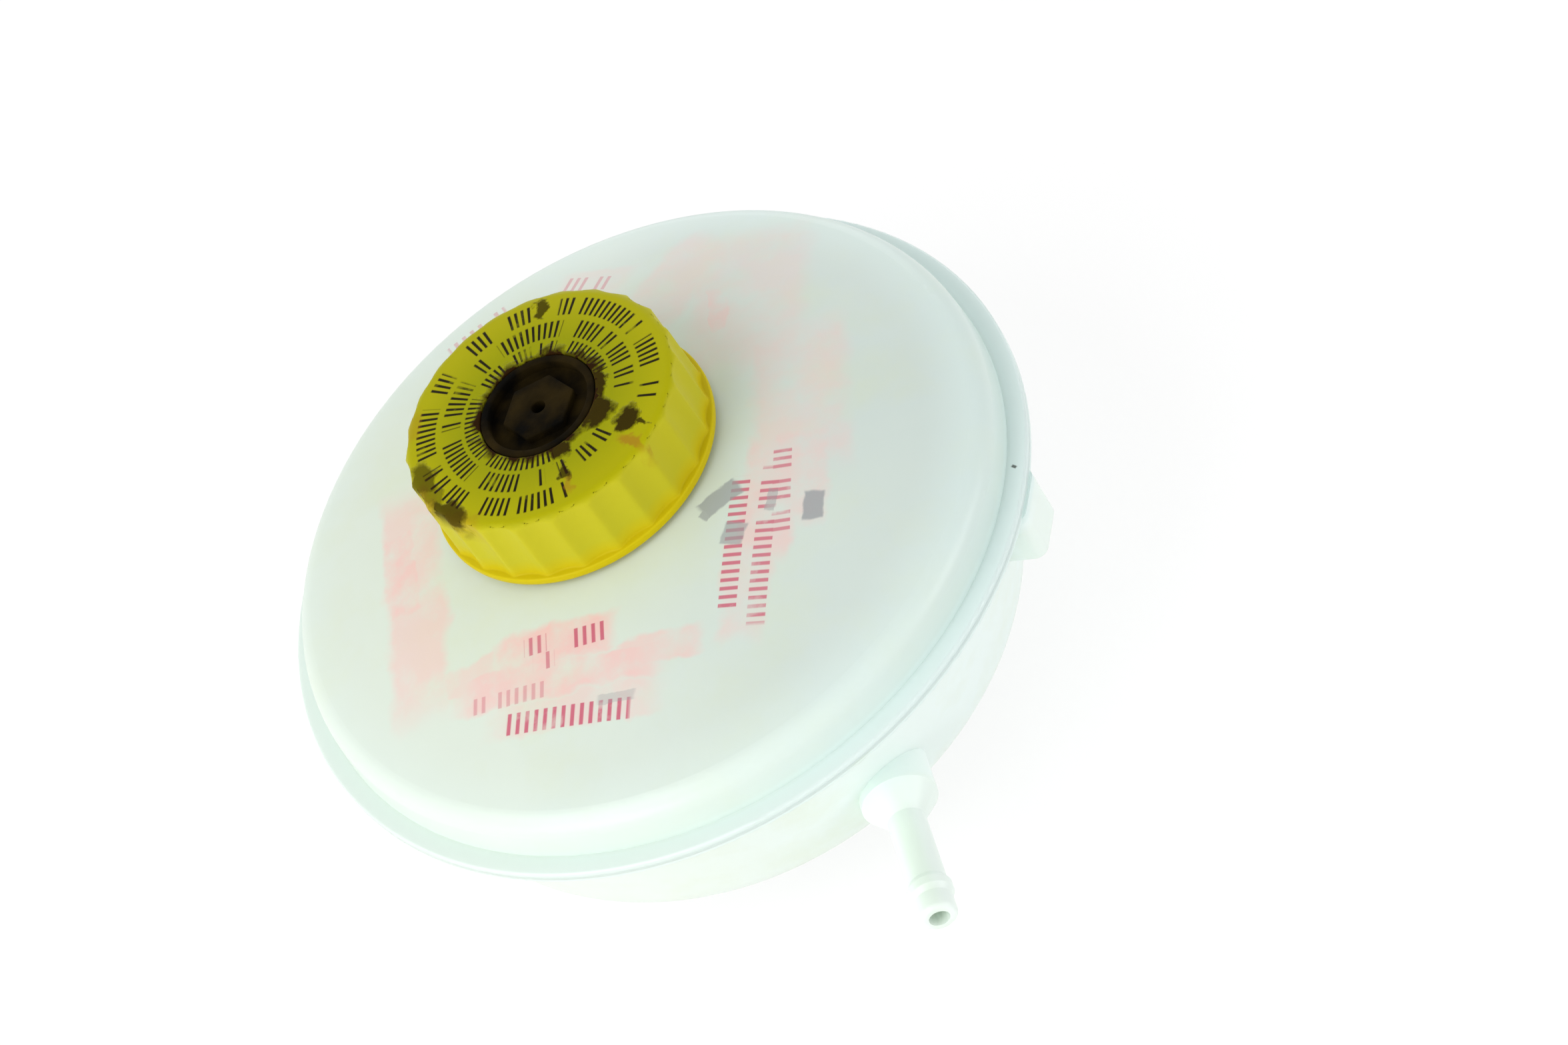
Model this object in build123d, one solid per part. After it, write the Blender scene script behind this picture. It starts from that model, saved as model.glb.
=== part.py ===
from build123d import *
from math import cos, degrees, radians, sin, sqrt, tan
import os

# Brake fluid reservoir: two round shells welded at a flange, an off-centre threaded filler neck
# under a fluted screw cap, a strainer in the neck, two outlet spigots below and a hose nipple on
# the side. Sizes are in millimetres. The origin is the middle of the flat underside, on the body
# axis, and +Z points up through the filler neck.

# Shells and their weld flange
wall = 2.2
flange_radius = 65.0
flange_thickness = 1.2
flange_edge_round = 0.4
flange_land_above = 3.2
flange_land_below = 2.8

# Lower shell
bowl_height = 36.0
bowl_taper = 16.4
bowl_corner = 18.0
baffle_thickness = 2.0
baffle_height = 20.0
baffle_notch_width = 8.0
baffle_notch_depth = 7.0

# Upper shell
side_draft = 0.8
shoulder_height = 8.5
shoulder_round = 4.0
dome_rise = 7.6

# Filler neck
neck_offset = 8.1
neck_bearing = 126.2
neck_radius = 19.2
neck_wall = 2.8
neck_inside_length = 3.0
neck_rim_chamfer = 0.5
strainer_seat_width = 1.2
strainer_seat_depth = 1.6

# Screw thread, two starts
thread_starts = 2
thread_lead = 8.0
thread_height = 1.1
thread_root_width = 1.8
thread_crest_width = 0.9
thread_radial_clearance = 0.3
thread_bite = 0.25
neck_thread_above_dome = 1.3
neck_thread_below_rim = 1.4
cap_thread_rise = 0.8
cap_thread_below_rim = 2.2

# Screw cap
cap_height = 14.8
cap_roof = 2.2
cap_wall = 3.7
cap_flare = 0.2
cap_lip_step = 0.4
cap_lip_height = 1.8
cap_clearance = 0.4
cap_lip_round = 0.8
cap_edge_round = 2.0
flute_count = 24
flute_depth = 0.92
flute_radius = 8.0

# Black insert in the middle of the cap
insert_clearance = 0.15
insert_depth = 3.4
insert_floor = 1.4
insert_rim_width = 1.3
insert_hex_across = 11.0
insert_hex_height = 1.6
vent_radius = 1.2
cup_wall = 1.5
cup_clearance = 3.05
cup_floor = 1.5

# Rubber seal under the cap
seal_thickness = 1.6
seal_clearance = 0.35
seal_bead_height = 0.5
seal_bead_width = 1.2

# Strainer
strainer_clearance = 0.6
strainer_wall = 1.1
strainer_depth = 20.0
strainer_flange_thickness = 1.3
strainer_seat_clearance = 0.3
strainer_slot_count = 12
strainer_slot_width = 3.6
strainer_slot_margin = 3.0
strainer_ring_width = 2.0
strainer_hub_radius = 3.0
strainer_spoke_width = 1.8

# Outlet spigots
outlet_spacing = 40.0
outlet_radius = 9.5
outlet_length = 13.0
outlet_wall = 3.0
outlet_lead_in = 1.4

# Hose nipple
nipple_x = 20.5
nipple_height = 16.5
nipple_length = 28.1
nipple_radius = 3.1
nipple_wall = 1.4
nipple_bead_step = 0.5
nipple_bead_length = 3.4
nipple_bead_land = 1.4
nipple_tip_length = 3.5
nipple_boss_radius = 6.2
nipple_boss_length = 4.4
nipple_boss_cone = 4.0

# Side lug
lug_bearing = -25.3
lug_width = 10.5
lug_drop = 9.3
lug_overhang = 0.4
lug_round = 2.0

# Heights and places that follow from the sizes above
neck_bore_radius = neck_radius - neck_wall
strainer_seat_radius = neck_bore_radius + strainer_seat_width
strainer_radius = neck_bore_radius - strainer_clearance
strainer_bore_radius = strainer_radius - strainer_wall
cup_radius = strainer_bore_radius - cup_clearance
insert_radius = cup_radius - cup_wall - insert_clearance
cap_bore_radius = neck_radius + thread_height + thread_radial_clearance
cap_skirt_radius = cap_bore_radius + cap_wall
cap_top_radius = cap_skirt_radius - cap_flare
cap_lip_radius = cap_skirt_radius + cap_lip_step
outlet_bore_radius = outlet_radius - outlet_wall
nipple_bore_radius = nipple_radius - nipple_wall
nipple_bead_radius = nipple_radius + nipple_bead_step
weld_plane = bowl_height
bowl_mouth_radius = flange_radius - flange_land_below
taper_slope = tan(radians(bowl_taper))
side_foot_radius = flange_radius - flange_land_above
shoulder_radius = side_foot_radius - side_draft
dome_top = weld_plane + shoulder_height + dome_rise
dome_radius = (shoulder_radius**2 + dome_rise**2) / (2 * dome_rise)
neck_x = neck_offset * cos(radians(neck_bearing))
neck_y = neck_offset * sin(radians(neck_bearing))
cap_near_reach = cap_bore_radius - neck_offset
dome_under_cap = dome_top - dome_radius + sqrt(dome_radius**2 - cap_near_reach**2)
cap_bottom = dome_under_cap + cap_clearance
cap_top = cap_bottom + cap_height
neck_top = cap_top - cap_roof - seal_thickness
thread_pitch = thread_lead / thread_starts
thread_start = dome_under_cap + neck_thread_above_dome
cap_thread_start = thread_start + cap_thread_rise
neck_thread_turns = (neck_top - neck_thread_below_rim - thread_root_width / 2 - thread_start) / thread_lead
cap_thread_turns = (neck_top - cap_thread_below_rim - thread_root_width / 2 - cap_thread_start) / thread_lead
nipple_wall_radius = bowl_mouth_radius - (weld_plane - nipple_height) * taper_slope
nipple_root = sqrt(nipple_wall_radius**2 - nipple_x**2)
nipple_reach = nipple_root + nipple_length
nipple_boss_reach = nipple_root + nipple_boss_length
neck_axis = Pos(neck_x, neck_y, 0)
far = 4 * flange_radius


# A solid of revolution about the body axis, from a half section drawn in X and Z
def turned(section):
    return revolve(section, Axis.Z)


# A closed half section through the given points, drawn in X and Z
def section_of(*points):
    edges = Polyline([(x, 0, z) for x, z in points], close=True)
    return make_face(edges.edges())


# The rounded half section of a shell, moved in from its outside by the given inset
def inset_section(half, inset):
    if inset == 0:
        return half
    whole = (half + mirror(half, Plane.YZ)).clean()
    smaller = offset(whole, amount=-inset, kind=Kind.INTERSECTION)
    right_side = section_of((0, -far), (far, -far), (far, far), (0, far))
    return smaller & right_side


# Solid dome from below the weld plane up, with its shoulder rounded
def dome_solid(inset):
    below = weld_plane - 3 * wall
    side_slope = (side_foot_radius - shoulder_radius) / shoulder_height
    foot = side_foot_radius + side_slope * (weld_plane - below)
    shoulder = (shoulder_radius, 0, weld_plane + shoulder_height)
    sag_angle = degrees(shoulder_radius / dome_radius) / 2
    sag = dome_radius * (1 - cos(radians(sag_angle)))
    middle = (dome_radius * sin(radians(sag_angle)), 0, dome_top - sag)
    base = Line((0, 0, below), (foot, 0, below))
    side = Line((foot, 0, below), shoulder)
    top = ThreePointArc(shoulder, middle, (0, 0, dome_top))
    axis_line = Line((0, 0, dome_top), (0, 0, below))
    half = make_face([base, side, top, axis_line])
    corner = half.vertices().sort_by_distance(shoulder)[0]
    half = fillet(corner, shoulder_round)
    kept = section_of((0, weld_plane), (far, weld_plane), (far, far), (0, far))
    return turned(inset_section(half, inset) & kept)


# Solid bowl from the underside to the weld plane, with its lower corner rounded
def bowl_solid(inset):
    above = weld_plane + 3 * wall
    bottom_radius = bowl_mouth_radius - bowl_height * taper_slope
    mouth = bottom_radius + above * taper_slope
    half = section_of((0, 0), (bottom_radius, 0), (mouth, above), (0, above))
    corner = half.vertices().sort_by_distance((bottom_radius, 0, 0))[0]
    half = fillet(corner, bowl_corner)
    kept = section_of((0, -far), (far, -far), (far, weld_plane), (0, weld_plane))
    return turned(inset_section(half, inset) & kept)


# One cylinder between two heights, for the flanges, the neck, the cap and their bores
def post(radius, low, high):
    return Pos(0, 0, low) * Cylinder(radius, high - low, align=(Align.CENTER, Align.CENTER, Align.MIN))


# Half of the weld flange, above the weld plane or below it, before the shell is hollowed
def flange_disc(side):
    low = weld_plane if side > 0 else weld_plane - flange_thickness
    disc = post(flange_radius, low, low + flange_thickness)
    outer_edge = disc.edges().filter_by(GeomType.CIRCLE).sort_by(Axis.Z)[-1 if side > 0 else 0]
    return fillet(outer_edge, flange_edge_round)


# A block of the given size that stands on z = 0, centred on the axis
def standing_box(length, width, height):
    return Box(length, width, height, align=(Align.CENTER, Align.CENTER, Align.MIN))


# The thread's ridges, standing out of or into a wall, as a right-hand helix of several starts
def thread_ridges(root_radius, direction, low, turns, first_angle):
    path = Helix(thread_lead, thread_lead * turns, root_radius)
    start_frame = Plane(path @ 0, x_dir=(direction, 0, 0), z_dir=path % 0)
    bite = thread_bite
    ridge = Polyline([(-bite, -thread_root_width / 2), (0, -thread_root_width / 2),
                      (thread_height, -thread_crest_width / 2), (thread_height, thread_crest_width / 2),
                      (0, thread_root_width / 2), (-bite, thread_root_width / 2)], close=True)
    one = sweep(start_frame * make_face(ridge.edges()), path=path, is_frenet=True)
    ridges = [Pos(0, 0, low) * Rot(0, 0, first_angle + start * 360 / thread_starts) * one
              for start in range(thread_starts)]
    return ridges


# Upper shell: dome, weld flange and threaded neck in one moulding
def upper_shell():
    body = dome_solid(0) + flange_disc(1)
    neck = post(neck_radius, dome_top - wall - neck_inside_length, neck_top)
    neck = chamfer(neck.edges().filter_by(GeomType.CIRCLE).sort_by(Axis.Z)[-1], neck_rim_chamfer)
    body = body - dome_solid(wall)
    body = body + neck_axis * neck
    for ridge in thread_ridges(neck_radius, 1, thread_start, neck_thread_turns, 0):
        body = body + neck_axis * ridge
    body = body - neck_axis * post(neck_bore_radius, 0, far)
    body = body - neck_axis * post(strainer_seat_radius, neck_top - strainer_seat_depth, far)
    return body


# Hose nipple along -Y with its boss, bead and rounded tip, before its bore
def nipple():
    bead_end = nipple_reach - nipple_tip_length
    bead_start = bead_end - nipple_bead_length
    bead_middle = (bead_start + bead_end) / 2
    points = [(0, 0), (nipple_boss_radius, 0), (nipple_boss_radius, nipple_boss_reach),
              (nipple_radius, nipple_boss_reach + nipple_boss_cone), (nipple_radius, bead_start),
              (nipple_bead_radius, bead_middle - nipple_bead_land / 2),
              (nipple_bead_radius, bead_middle + nipple_bead_land / 2), (nipple_radius, bead_end),
              (nipple_radius, nipple_reach), (0, nipple_reach)]
    shape = turned(section_of(*points))
    tip = shape.edges().filter_by(GeomType.CIRCLE).sort_by(Axis.Z)[-1]
    shape = fillet(tip, nipple_radius - nipple_bore_radius - 0.6)
    return Pos(nipple_x, 0, nipple_height) * Rot(90, 0, 0) * shape


# Lug on the side of the bowl, hanging from the flange and standing out of the wall
def side_lug():
    height = lug_drop + flange_thickness / 2
    block = Box(flange_radius + lug_overhang, lug_width, height, align=(Align.MIN, Align.CENTER, Align.MIN))
    outer_edges = block.edges().filter_by(Axis.Z).sort_by(Axis.X)[-2:]
    block = fillet(outer_edges, lug_round)
    return Rot(0, 0, lug_bearing) * Pos(0, 0, weld_plane - flange_thickness - lug_drop) * block


# Outlet places along X, one for each brake circuit
def outlet_places():
    return [Pos(side * outlet_spacing / 2, 0, 0) for side in (-1, 1)]


# Lower shell: bowl, weld flange, baffle, outlets, nipple and lug in one moulding
def lower_shell():
    cavity = bowl_solid(wall)
    body = bowl_solid(0) + flange_disc(-1) + side_lug() + nipple()
    for place in outlet_places():
        spigot = post(outlet_radius, -outlet_length, wall)
        spigot = chamfer(spigot.edges().filter_by(GeomType.CIRCLE).sort_by(Axis.Z)[0], outlet_lead_in)
        body = body + place * spigot
    body = body - cavity
    baffle = standing_box(baffle_thickness, 2 * flange_radius, baffle_height)
    notch = standing_box(2 * baffle_thickness, baffle_notch_width, 2 * baffle_notch_depth)
    notch = Pos(0, 0, baffle_height - baffle_notch_depth) * notch
    body = body + ((baffle - notch) & bowl_solid(wall / 2))
    for place in outlet_places():
        body = body - place * post(outlet_bore_radius, -outlet_length, 2 * wall)
    bore = post(nipple_bore_radius, nipple_root - 4 * wall, nipple_reach)
    return body - Pos(nipple_x, 0, nipple_height) * Rot(90, 0, 0) * bore


# Screw cap: fluted and flared skirt, lip, roof, insert cup and inner thread
def filler_cap():
    lip_top = cap_bottom + cap_lip_height
    outline = section_of((0, cap_bottom), (cap_lip_radius, cap_bottom), (cap_lip_radius, lip_top),
                         (cap_skirt_radius, lip_top), (cap_top_radius, cap_top), (0, cap_top))
    body = turned(outline)
    body = fillet(body.edges().filter_by(GeomType.CIRCLE).sort_by(Axis.Z)[-1], cap_edge_round)
    body = fillet(body.edges().filter_by(GeomType.CIRCLE).sort_by(Axis.Z)[0], cap_lip_round)
    flare = degrees((cap_skirt_radius - cap_top_radius) / (cap_height - cap_lip_height))
    cutter = post(flute_radius, 0, 3 * cap_height)
    cutter = Pos(cap_skirt_radius + flute_radius - flute_depth, 0, lip_top) * Rot(0, -flare, 0) * cutter
    cutter = cutter & Pos(0, 0, lip_top) * standing_box(far, far, far)
    for flute in range(flute_count):
        body = body - Rot(0, 0, flute * 360 / flute_count) * cutter
    bore = post(cap_bore_radius, cap_bottom - wall, cap_top - cap_roof)
    cup_low = cap_top - insert_depth - cup_floor
    bore = bore - post(cup_radius, cup_low, cap_top)
    body = body - bore
    body = body - post(insert_radius + insert_clearance, cap_top - insert_depth, far)
    body = body - post(vent_radius, cup_low - wall, far)
    first_angle = 360 * (cap_thread_rise + thread_pitch / 2) / thread_lead
    for ridge in thread_ridges(cap_bore_radius, -1, cap_thread_start, cap_thread_turns, first_angle):
        body = body + ridge
    return neck_axis * body


# Insert: a black cup with a raised hexagon and a vent hole
def cap_insert():
    low = cap_top - insert_depth
    body = post(insert_radius, low, low + insert_floor)
    rim = post(insert_radius, low, cap_top) - post(insert_radius - insert_rim_width, low, far)
    hexagon = RegularPolygon(insert_hex_across / 2, 6, major_radius=False)
    boss = Pos(0, 0, low + insert_floor) * extrude(hexagon, insert_hex_height)
    body = body + rim + boss - post(vent_radius, low, far)
    return neck_axis * body


# Seal: a flat rubber ring between the neck's rim and the cap's roof, with a bead on its inner edge
def cap_seal():
    outer = cap_bore_radius - seal_clearance
    inner = cup_radius + seal_clearance
    ring = post(outer, neck_top, neck_top + seal_thickness) - post(inner, 0, far)
    bead_low = neck_top - seal_bead_height
    bead = post(inner + seal_bead_width, bead_low, neck_top + seal_thickness / 2) - post(inner, 0, far)
    return neck_axis * (ring + bead)


# Strainer: a slotted basket hung by its flange in the neck
def strainer():
    seat = neck_top - strainer_seat_depth
    flange_top = seat + strainer_flange_thickness
    bottom = flange_top - strainer_depth
    flange_out = strainer_seat_radius - strainer_seat_clearance
    body = post(flange_out, seat, flange_top) + post(strainer_radius, bottom, flange_top)
    body = body - post(strainer_bore_radius, bottom + strainer_wall, far)
    slot_height = strainer_depth - strainer_flange_thickness - 2 * strainer_slot_margin
    slot = standing_box(4 * strainer_wall, strainer_slot_width, slot_height)
    slot = Pos(strainer_radius, 0, bottom + strainer_slot_margin) * slot
    for index in range(strainer_slot_count):
        body = body - Rot(0, 0, index * 360 / strainer_slot_count) * slot
    window = post(strainer_bore_radius - strainer_ring_width, bottom - wall, bottom + 2 * wall)
    window = window - post(strainer_hub_radius, bottom - wall, bottom + 2 * wall)
    for turn in (0, 90):
        spoke = Box(2 * strainer_radius, strainer_spoke_width, 4 * wall)
        window = window - Pos(0, 0, bottom) * Rot(0, 0, turn) * spoke
    return neck_axis * (body - window)


os.makedirs("parts", exist_ok=True)
export_step(upper_shell(), "parts/upper_shell.step")
export_step(lower_shell(), "parts/lower_shell.step")
export_step(filler_cap(), "parts/filler_cap.step")
export_step(cap_insert(), "parts/cap_insert.step")
export_step(cap_seal(), "parts/cap_seal.step")
export_step(strainer(), "parts/strainer.step")
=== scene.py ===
import bmesh
import bpy
import math
from mathutils import Matrix, Vector


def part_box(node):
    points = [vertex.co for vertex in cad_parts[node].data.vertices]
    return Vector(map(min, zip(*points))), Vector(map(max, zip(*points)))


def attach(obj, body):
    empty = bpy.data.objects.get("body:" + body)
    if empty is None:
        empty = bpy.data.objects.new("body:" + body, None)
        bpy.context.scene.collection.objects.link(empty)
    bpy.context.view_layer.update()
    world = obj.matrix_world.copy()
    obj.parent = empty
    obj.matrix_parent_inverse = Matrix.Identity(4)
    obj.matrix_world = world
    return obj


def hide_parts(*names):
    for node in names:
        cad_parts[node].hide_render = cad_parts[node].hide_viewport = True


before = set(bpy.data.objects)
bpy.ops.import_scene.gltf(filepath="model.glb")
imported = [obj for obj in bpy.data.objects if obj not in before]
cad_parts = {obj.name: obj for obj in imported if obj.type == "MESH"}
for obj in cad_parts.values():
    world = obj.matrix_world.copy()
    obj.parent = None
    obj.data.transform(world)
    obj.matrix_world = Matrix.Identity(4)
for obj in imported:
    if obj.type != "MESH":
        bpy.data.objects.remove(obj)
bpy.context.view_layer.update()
mm = 0.001
capLow, capHigh = (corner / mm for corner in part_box("filler_cap"))   # in mm, as every size below
insertLow, insertHigh = (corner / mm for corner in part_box("cap_insert"))
neckX = (capLow.x + capHigh.x) / 2   # the screw cap stands off the body's middle
neckY = (capLow.y + capHigh.y) / 2


def linear(hexColour):
    channels = [int(hexColour[i:i + 2], 16) / 255 for i in (1, 3, 5)]
    return tuple(c / 12.92 if c <= 0.04045 else ((c + 0.055) / 1.055) ** 2.4 for c in channels) + (1.0,)


def addNode(tree, kind, sockets=None, **settings):
    made = tree.nodes.new(kind)
    for name, value in settings.items():
        setattr(made, name, value)
    for key, value in (sockets or {}).items():
        if isinstance(value, bpy.types.NodeSocket):
            tree.links.new(value, made.inputs[key])
        else:
            made.inputs[key].default_value = value
    return made


def newMaterial(name):
    made = bpy.data.materials.new(name)
    made.use_nodes = True
    made.node_tree.nodes.clear()
    return made, made.node_tree


# camera, floor and light

view = {
    "eye": (111.6, -437.7, 491.5),            # mm, where the photograph was taken from
    "right": (0.8888, -0.2326, -0.3950),
    "up": (0.4352, 0.6986, 0.5679),
    "forward": (-0.1438, 0.6766, -0.7221),
    "lens": 90.57, "sensor": 36.0,            # mm
    "clip": (0.05, 20.0),                     # m
}
studio = {
    "floorZ": -13.0,                          # mm, the spigots' ends stand on it
    "floorSize": 8.0,                         # m
    "floorColour": "#F4F4F2",
    "floorGlow": 0.78, "floorShare": 0.26,    # white that the shadow can't darken, and white that it can
    "skyLight": 0.62,
    "lampDistance": 1.3,                      # m
    "lamps": [   # from where, size in m, and strength: 1 lights as a white world does
        ("softTop", (-0.50, -0.35, 0.79), 0.9, 0.32),
        ("softKey", (-0.62, -0.75, 0.26), 0.9, 0.34),
        ("softFill", (0.90, -0.25, 0.08), 0.9, 0.34),
        ("softBack", (0.10, 0.95, 0.20), 0.9, 0.16),
    ],
}


def makeCamera():
    data = bpy.data.cameras.new("photoView")
    data.sensor_fit = "HORIZONTAL"
    data.sensor_width = view["sensor"]
    data.lens = view["lens"]
    data.clip_start, data.clip_end = view["clip"]
    camera = bpy.data.objects.new("photoView", data)
    bpy.context.scene.collection.objects.link(camera)
    turn = Matrix((view["right"], view["up"], [-c for c in view["forward"]])).transposed()
    camera.matrix_world = Matrix.Translation(Vector(view["eye"]) * mm) @ turn.to_4x4()
    bpy.context.scene.camera = camera


def seenDirectly(tree):   # 1 where the camera sees a thing, also in a reflection or through something clear
    path = addNode(tree, "ShaderNodeLightPath")
    either = addNode(tree, "ShaderNodeMath", {
        0: path.outputs["Is Camera Ray"], 1: path.outputs["Is Glossy Ray"]}, operation="MAXIMUM")
    return addNode(tree, "ShaderNodeMath", {
        0: either.outputs[0], 1: path.outputs["Is Transmission Ray"]}, operation="MAXIMUM").outputs[0]


def makeStudio():
    world = bpy.data.worlds.new("whiteRoom")
    bpy.context.scene.world = world
    world.use_nodes = True
    tree = world.node_tree
    tree.nodes.clear()
    strength = addNode(tree, "ShaderNodeMapRange", {
        "Value": seenDirectly(tree), "To Min": studio["skyLight"], "To Max": 1.0})
    sky = addNode(tree, "ShaderNodeBackground", {"Color": (1, 1, 1, 1), "Strength": strength.outputs[0]})
    addNode(tree, "ShaderNodeOutputWorld", {"Surface": sky.outputs[0]})

    bpy.ops.object.select_all(action="DESELECT")
    bpy.ops.mesh.primitive_plane_add(size=studio["floorSize"], location=(0, 0, studio["floorZ"] * mm))
    floor = bpy.context.object
    floor.name = "floor"
    bpy.ops.object.transform_apply(location=True)
    paper, tree = newMaterial("matteWhitePaper")   # the plain floor, white with the shadow left faint
    diffuse = addNode(tree, "ShaderNodeBsdfDiffuse", {"Color": linear(studio["floorColour"])})
    share = addNode(tree, "ShaderNodeBsdfDiffuse", {"Color": (studio["floorShare"],) * 3 + (1,)})
    glow = addNode(tree, "ShaderNodeEmission", {"Strength": studio["floorGlow"]})
    white = addNode(tree, "ShaderNodeAddShader", {0: share.outputs[0], 1: glow.outputs[0]})
    either = addNode(tree, "ShaderNodeMixShader", {
        0: seenDirectly(tree), 1: diffuse.outputs[0], 2: white.outputs[0]})
    addNode(tree, "ShaderNodeOutputMaterial", {"Surface": either.outputs[0]})
    floor.data.materials.append(paper)

    for name, source, size, strength in studio["lamps"]:
        lamp = bpy.data.lights.new(name, "AREA")
        lamp.shape = "DISK"
        lamp.size = size
        lamp.energy = strength * math.pi ** 2 * studio["lampDistance"] ** 2
        holder = bpy.data.objects.new(name, lamp)
        bpy.context.scene.collection.objects.link(holder)
        aim = Vector(source).normalized()
        holder.location = aim * studio["lampDistance"]
        holder.rotation_euler = aim.to_track_quat("Z", "Y").to_euler()


bpy.context.scene.view_settings.view_transform = "Standard"
makeCamera()
makeStudio()
print("camera, floor and light are up")


# marks on the surfaces: each function gives a mask from 0 to 1

strokes = {
    "bar": (0.26, 0.70), "barSoft": 0.08,     # where a stroke lies in its step, as shares of the step
    "lostInRows": 0.17, "lostInRings": 0.12,  # share of the strokes that are worn off
    "lostEdge": 0.01, "rowSeed": 7, "rowSeedStep": 40,
    "blockSoft": 0.05,                        # share of a row's length and height
    "bandSoft": 0.15,                         # mm
    "arcSoft": 0.012,                         # radians
}


def softWindow(tree, value, low, high, soft):
    rise = addNode(tree, "ShaderNodeMapRange", {
        "Value": value, "From Min": low - soft, "From Max": low + soft}, interpolation_type="SMOOTHSTEP")
    fall = addNode(tree, "ShaderNodeMapRange", {
        "Value": value, "From Min": high + soft, "From Max": high - soft}, interpolation_type="SMOOTHSTEP")
    return addNode(tree, "ShaderNodeMath", {
        0: rise.outputs[0], 1: fall.outputs[0]}, operation="MULTIPLY").outputs[0]


def inkPatches(tree, coords, patches, soft):
    whole = 0.0
    for x, y, turn, halfLength, halfWidth, amount in patches:
        local = addNode(tree, "ShaderNodeMapping", {
            "Vector": coords, "Location": (x * mm, y * mm, 0), "Rotation": (0, 0, math.radians(turn)),
            "Scale": (halfLength * mm, halfWidth * mm, 1)}, vector_type="TEXTURE")
        away = addNode(tree, "ShaderNodeVectorMath", {0: local.outputs[0]}, operation="ABSOLUTE")
        parts = addNode(tree, "ShaderNodeSeparateXYZ", {0: away.outputs[0]})
        along = addNode(tree, "ShaderNodeMapRange", {
            "Value": parts.outputs[0], "From Min": 1 + soft, "From Max": 1 - soft, "To Max": amount},
            interpolation_type="SMOOTHSTEP")
        across = addNode(tree, "ShaderNodeMapRange", {
            "Value": parts.outputs[1], "From Min": 1 + soft, "From Max": 1 - soft},
            interpolation_type="SMOOTHSTEP")
        patch = addNode(tree, "ShaderNodeMath", {
            0: along.outputs[0], 1: across.outputs[0]}, operation="MULTIPLY").outputs[0]
        whole = addNode(tree, "ShaderNodeMath", {0: whole, 1: patch}, operation="MAXIMUM").outputs[0]
    return whole


def roundStains(tree, coords, stains, soft):
    whole = 0.0
    for x, y, turn, halfLength, halfWidth, amount in stains:
        local = addNode(tree, "ShaderNodeMapping", {
            "Vector": coords, "Location": (x * mm, y * mm, 0), "Rotation": (0, 0, math.radians(turn)),
            "Scale": (halfLength * mm, halfWidth * mm, 1)}, vector_type="TEXTURE")
        away = addNode(tree, "ShaderNodeVectorMath", {0: local.outputs[0]}, operation="LENGTH")
        stain = addNode(tree, "ShaderNodeMapRange", {
            "Value": away.outputs["Value"], "From Min": 1 + soft, "From Max": 1 - soft,
            "To Max": amount}).outputs[0]
        whole = addNode(tree, "ShaderNodeMath", {0: whole, 1: stain}, operation="MAXIMUM").outputs[0]
    return whole


def brokenBars(tree, steps, firstCell, lost):   # plain strokes, one to a step, some of them worn off
    phase = addNode(tree, "ShaderNodeMath", {0: steps}, operation="FRACT").outputs[0]
    cell = addNode(tree, "ShaderNodeMath", {0: steps}, operation="FLOOR").outputs[0]
    cell = addNode(tree, "ShaderNodeMath", {0: cell, 1: firstCell}, operation="ADD").outputs[0]
    chance = addNode(tree, "ShaderNodeTexWhiteNoise", {"W": cell}, noise_dimensions="1D").outputs[0]
    kept = addNode(tree, "ShaderNodeMapRange", {
        "Value": chance, "From Min": lost, "From Max": lost + strokes["lostEdge"]})
    bar = softWindow(tree, phase, *strokes["bar"], strokes["barSoft"])
    return addNode(tree, "ShaderNodeMath", {0: bar, 1: kept.outputs[0]}, operation="MULTIPLY").outputs[0]


def strokeRows(tree, coords, rows):
    whole = 0.0
    for index, (x, y, turn, halfLength, halfWidth, amount, pitch) in enumerate(rows):
        block = inkPatches(tree, coords, [(x, y, turn, halfLength, halfWidth, amount)], strokes["blockSoft"])
        local = addNode(tree, "ShaderNodeMapping", {
            "Vector": coords, "Location": (x * mm, y * mm, 0), "Rotation": (0, 0, math.radians(turn)),
            "Scale": (pitch * mm, 1, 1)}, vector_type="TEXTURE")
        steps = addNode(tree, "ShaderNodeSeparateXYZ", {0: local.outputs[0]}).outputs[0]
        seed = strokes["rowSeedStep"] * index + strokes["rowSeed"]
        bars = brokenBars(tree, steps, seed, strokes["lostInRows"])
        row = addNode(tree, "ShaderNodeMath", {0: block, 1: bars}, operation="MULTIPLY").outputs[0]
        whole = addNode(tree, "ShaderNodeMath", {0: whole, 1: row}, operation="MAXIMUM").outputs[0]
    return whole


def strokeRings(tree, reach, angle, rings):
    whole = 0.0
    for radius, half, count, arcs in rings:
        steps = addNode(tree, "ShaderNodeMath", {
            0: angle, 1: count / math.tau}, operation="MULTIPLY").outputs[0]
        printed = 0.0
        for start, end in arcs:
            arc = softWindow(tree, angle, math.radians(start), math.radians(end), strokes["arcSoft"])
            printed = addNode(tree, "ShaderNodeMath", {0: printed, 1: arc}, operation="MAXIMUM").outputs[0]
        band = softWindow(tree, reach, (radius - half) * mm, (radius + half) * mm, strokes["bandSoft"] * mm)
        bars = brokenBars(tree, steps, radius, strokes["lostInRings"])
        ring = addNode(tree, "ShaderNodeMath", {0: band, 1: bars}, operation="MULTIPLY").outputs[0]
        ring = addNode(tree, "ShaderNodeMath", {0: ring, 1: printed}, operation="MULTIPLY").outputs[0]
        whole = addNode(tree, "ShaderNodeMath", {0: whole, 1: ring}, operation="MAXIMUM").outputs[0]
    return whole


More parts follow.
